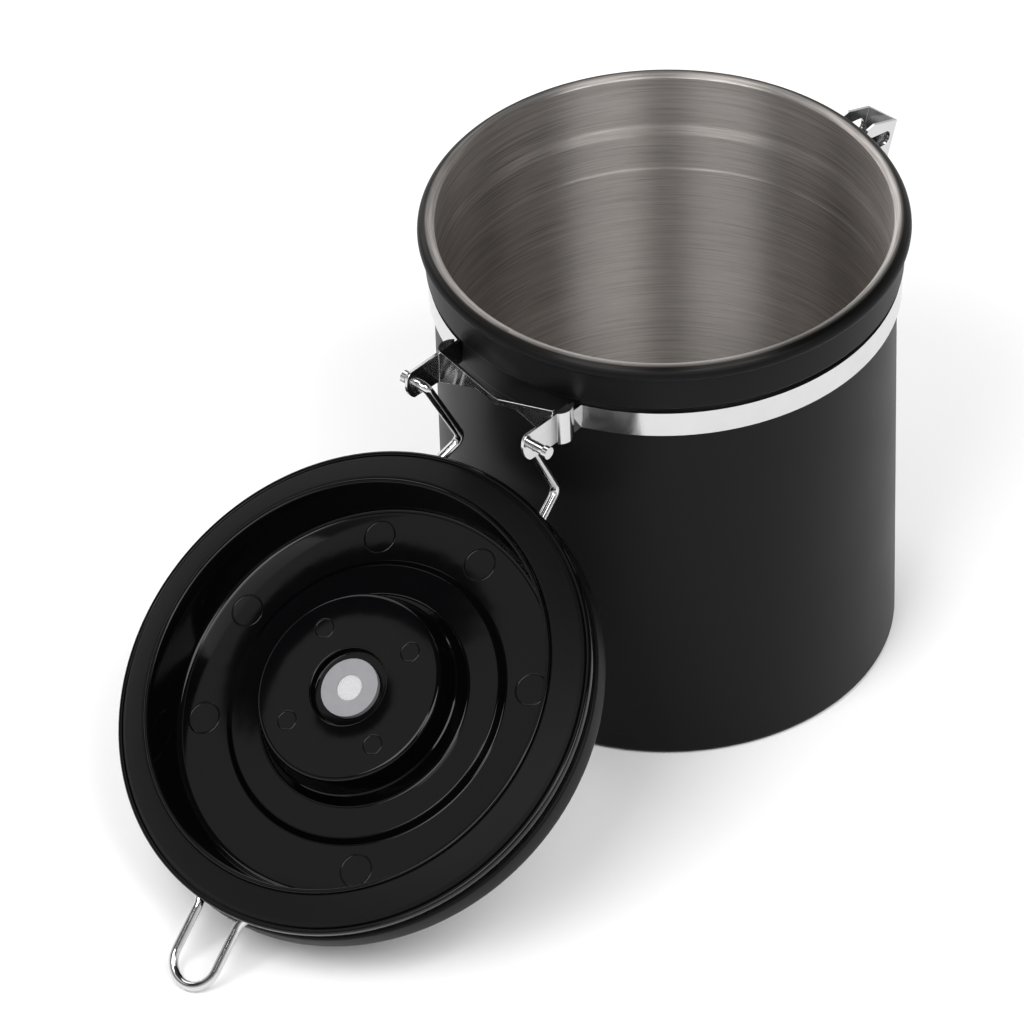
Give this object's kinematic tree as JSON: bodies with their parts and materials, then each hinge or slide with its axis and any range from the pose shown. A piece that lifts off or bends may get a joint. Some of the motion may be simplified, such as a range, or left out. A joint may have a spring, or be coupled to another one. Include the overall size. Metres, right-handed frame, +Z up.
{
  "type": "coffee canister with valve",
  "caption": "Open coffee canister in matte black coated steel with a wire-hinged lid, clamp lever, sealing gasket and one-way valve.",
  "frame": {"origin": "centre of the canister's base on the table", "axes": "+Z up along the canister axis, -X towards the hinge and the opened lid, +X towards the latch"},
  "size_m": [0.2666, 0.1236, 0.1249],
  "materials": {
    "coated_steel": "matte",
    "polished_steel": "polished",
    "brushed_steel": "brushed",
    "black_moulding": "gloss",
    "black_silicone": "matte",
    "clear_valve": "translucent",
    "white_filter": "matte"
  },
  "bodies": {
    "canister": {"canister_body": "coated_steel", "neck_band": "polished_steel", "hinge_bracket": "polished_steel", "latch_bracket": "brushed_steel", "latch_rivet_left": "brushed_steel", "latch_rivet_right": "brushed_steel"},
    "lid": {"lid_liner": "black_moulding", "lid_gasket": "black_silicone", "lid_cap": "coated_steel", "valve_body": "clear_valve", "valve_filter": "white_filter", "vent_cap": "black_moulding", "lid_wire": "polished_steel"},
    "flap": {"valve_flap": "black_silicone"},
    "link": {"latch_link": "polished_steel"},
    "lever": {"clamp_lever": "polished_steel"}
  },
  "joints": [
    {"name": "lid_hinge", "type": "hinge", "parent": "canister", "child": "lid", "pos_m": [-0.07003, 0, 0.10714], "axis": [0, 1, 0], "range_deg": [0, 213.09]},
    {"name": "link_swing", "type": "hinge", "parent": "canister", "child": "link", "pos_m": [0.068, 0, 0.1076], "axis": [0, -1, 0], "range_deg": [0, 167.28]},
    {"name": "lever_swing", "type": "hinge", "parent": "link", "child": "lever", "pos_m": [0.06978, 0, 0.09159], "axis": [0, 1, 0], "range_deg": [0, 167.28]},
    {"name": "flap_lift", "type": "slide", "parent": "lid", "child": "flap", "axis": [0.5459, 0, -0.8378], "range_m": [0, 0.0008]}
  ],
  "couplings": [
    {"joint": "lever_swing", "follows": "link_swing", "ratio": 1}
  ]
}
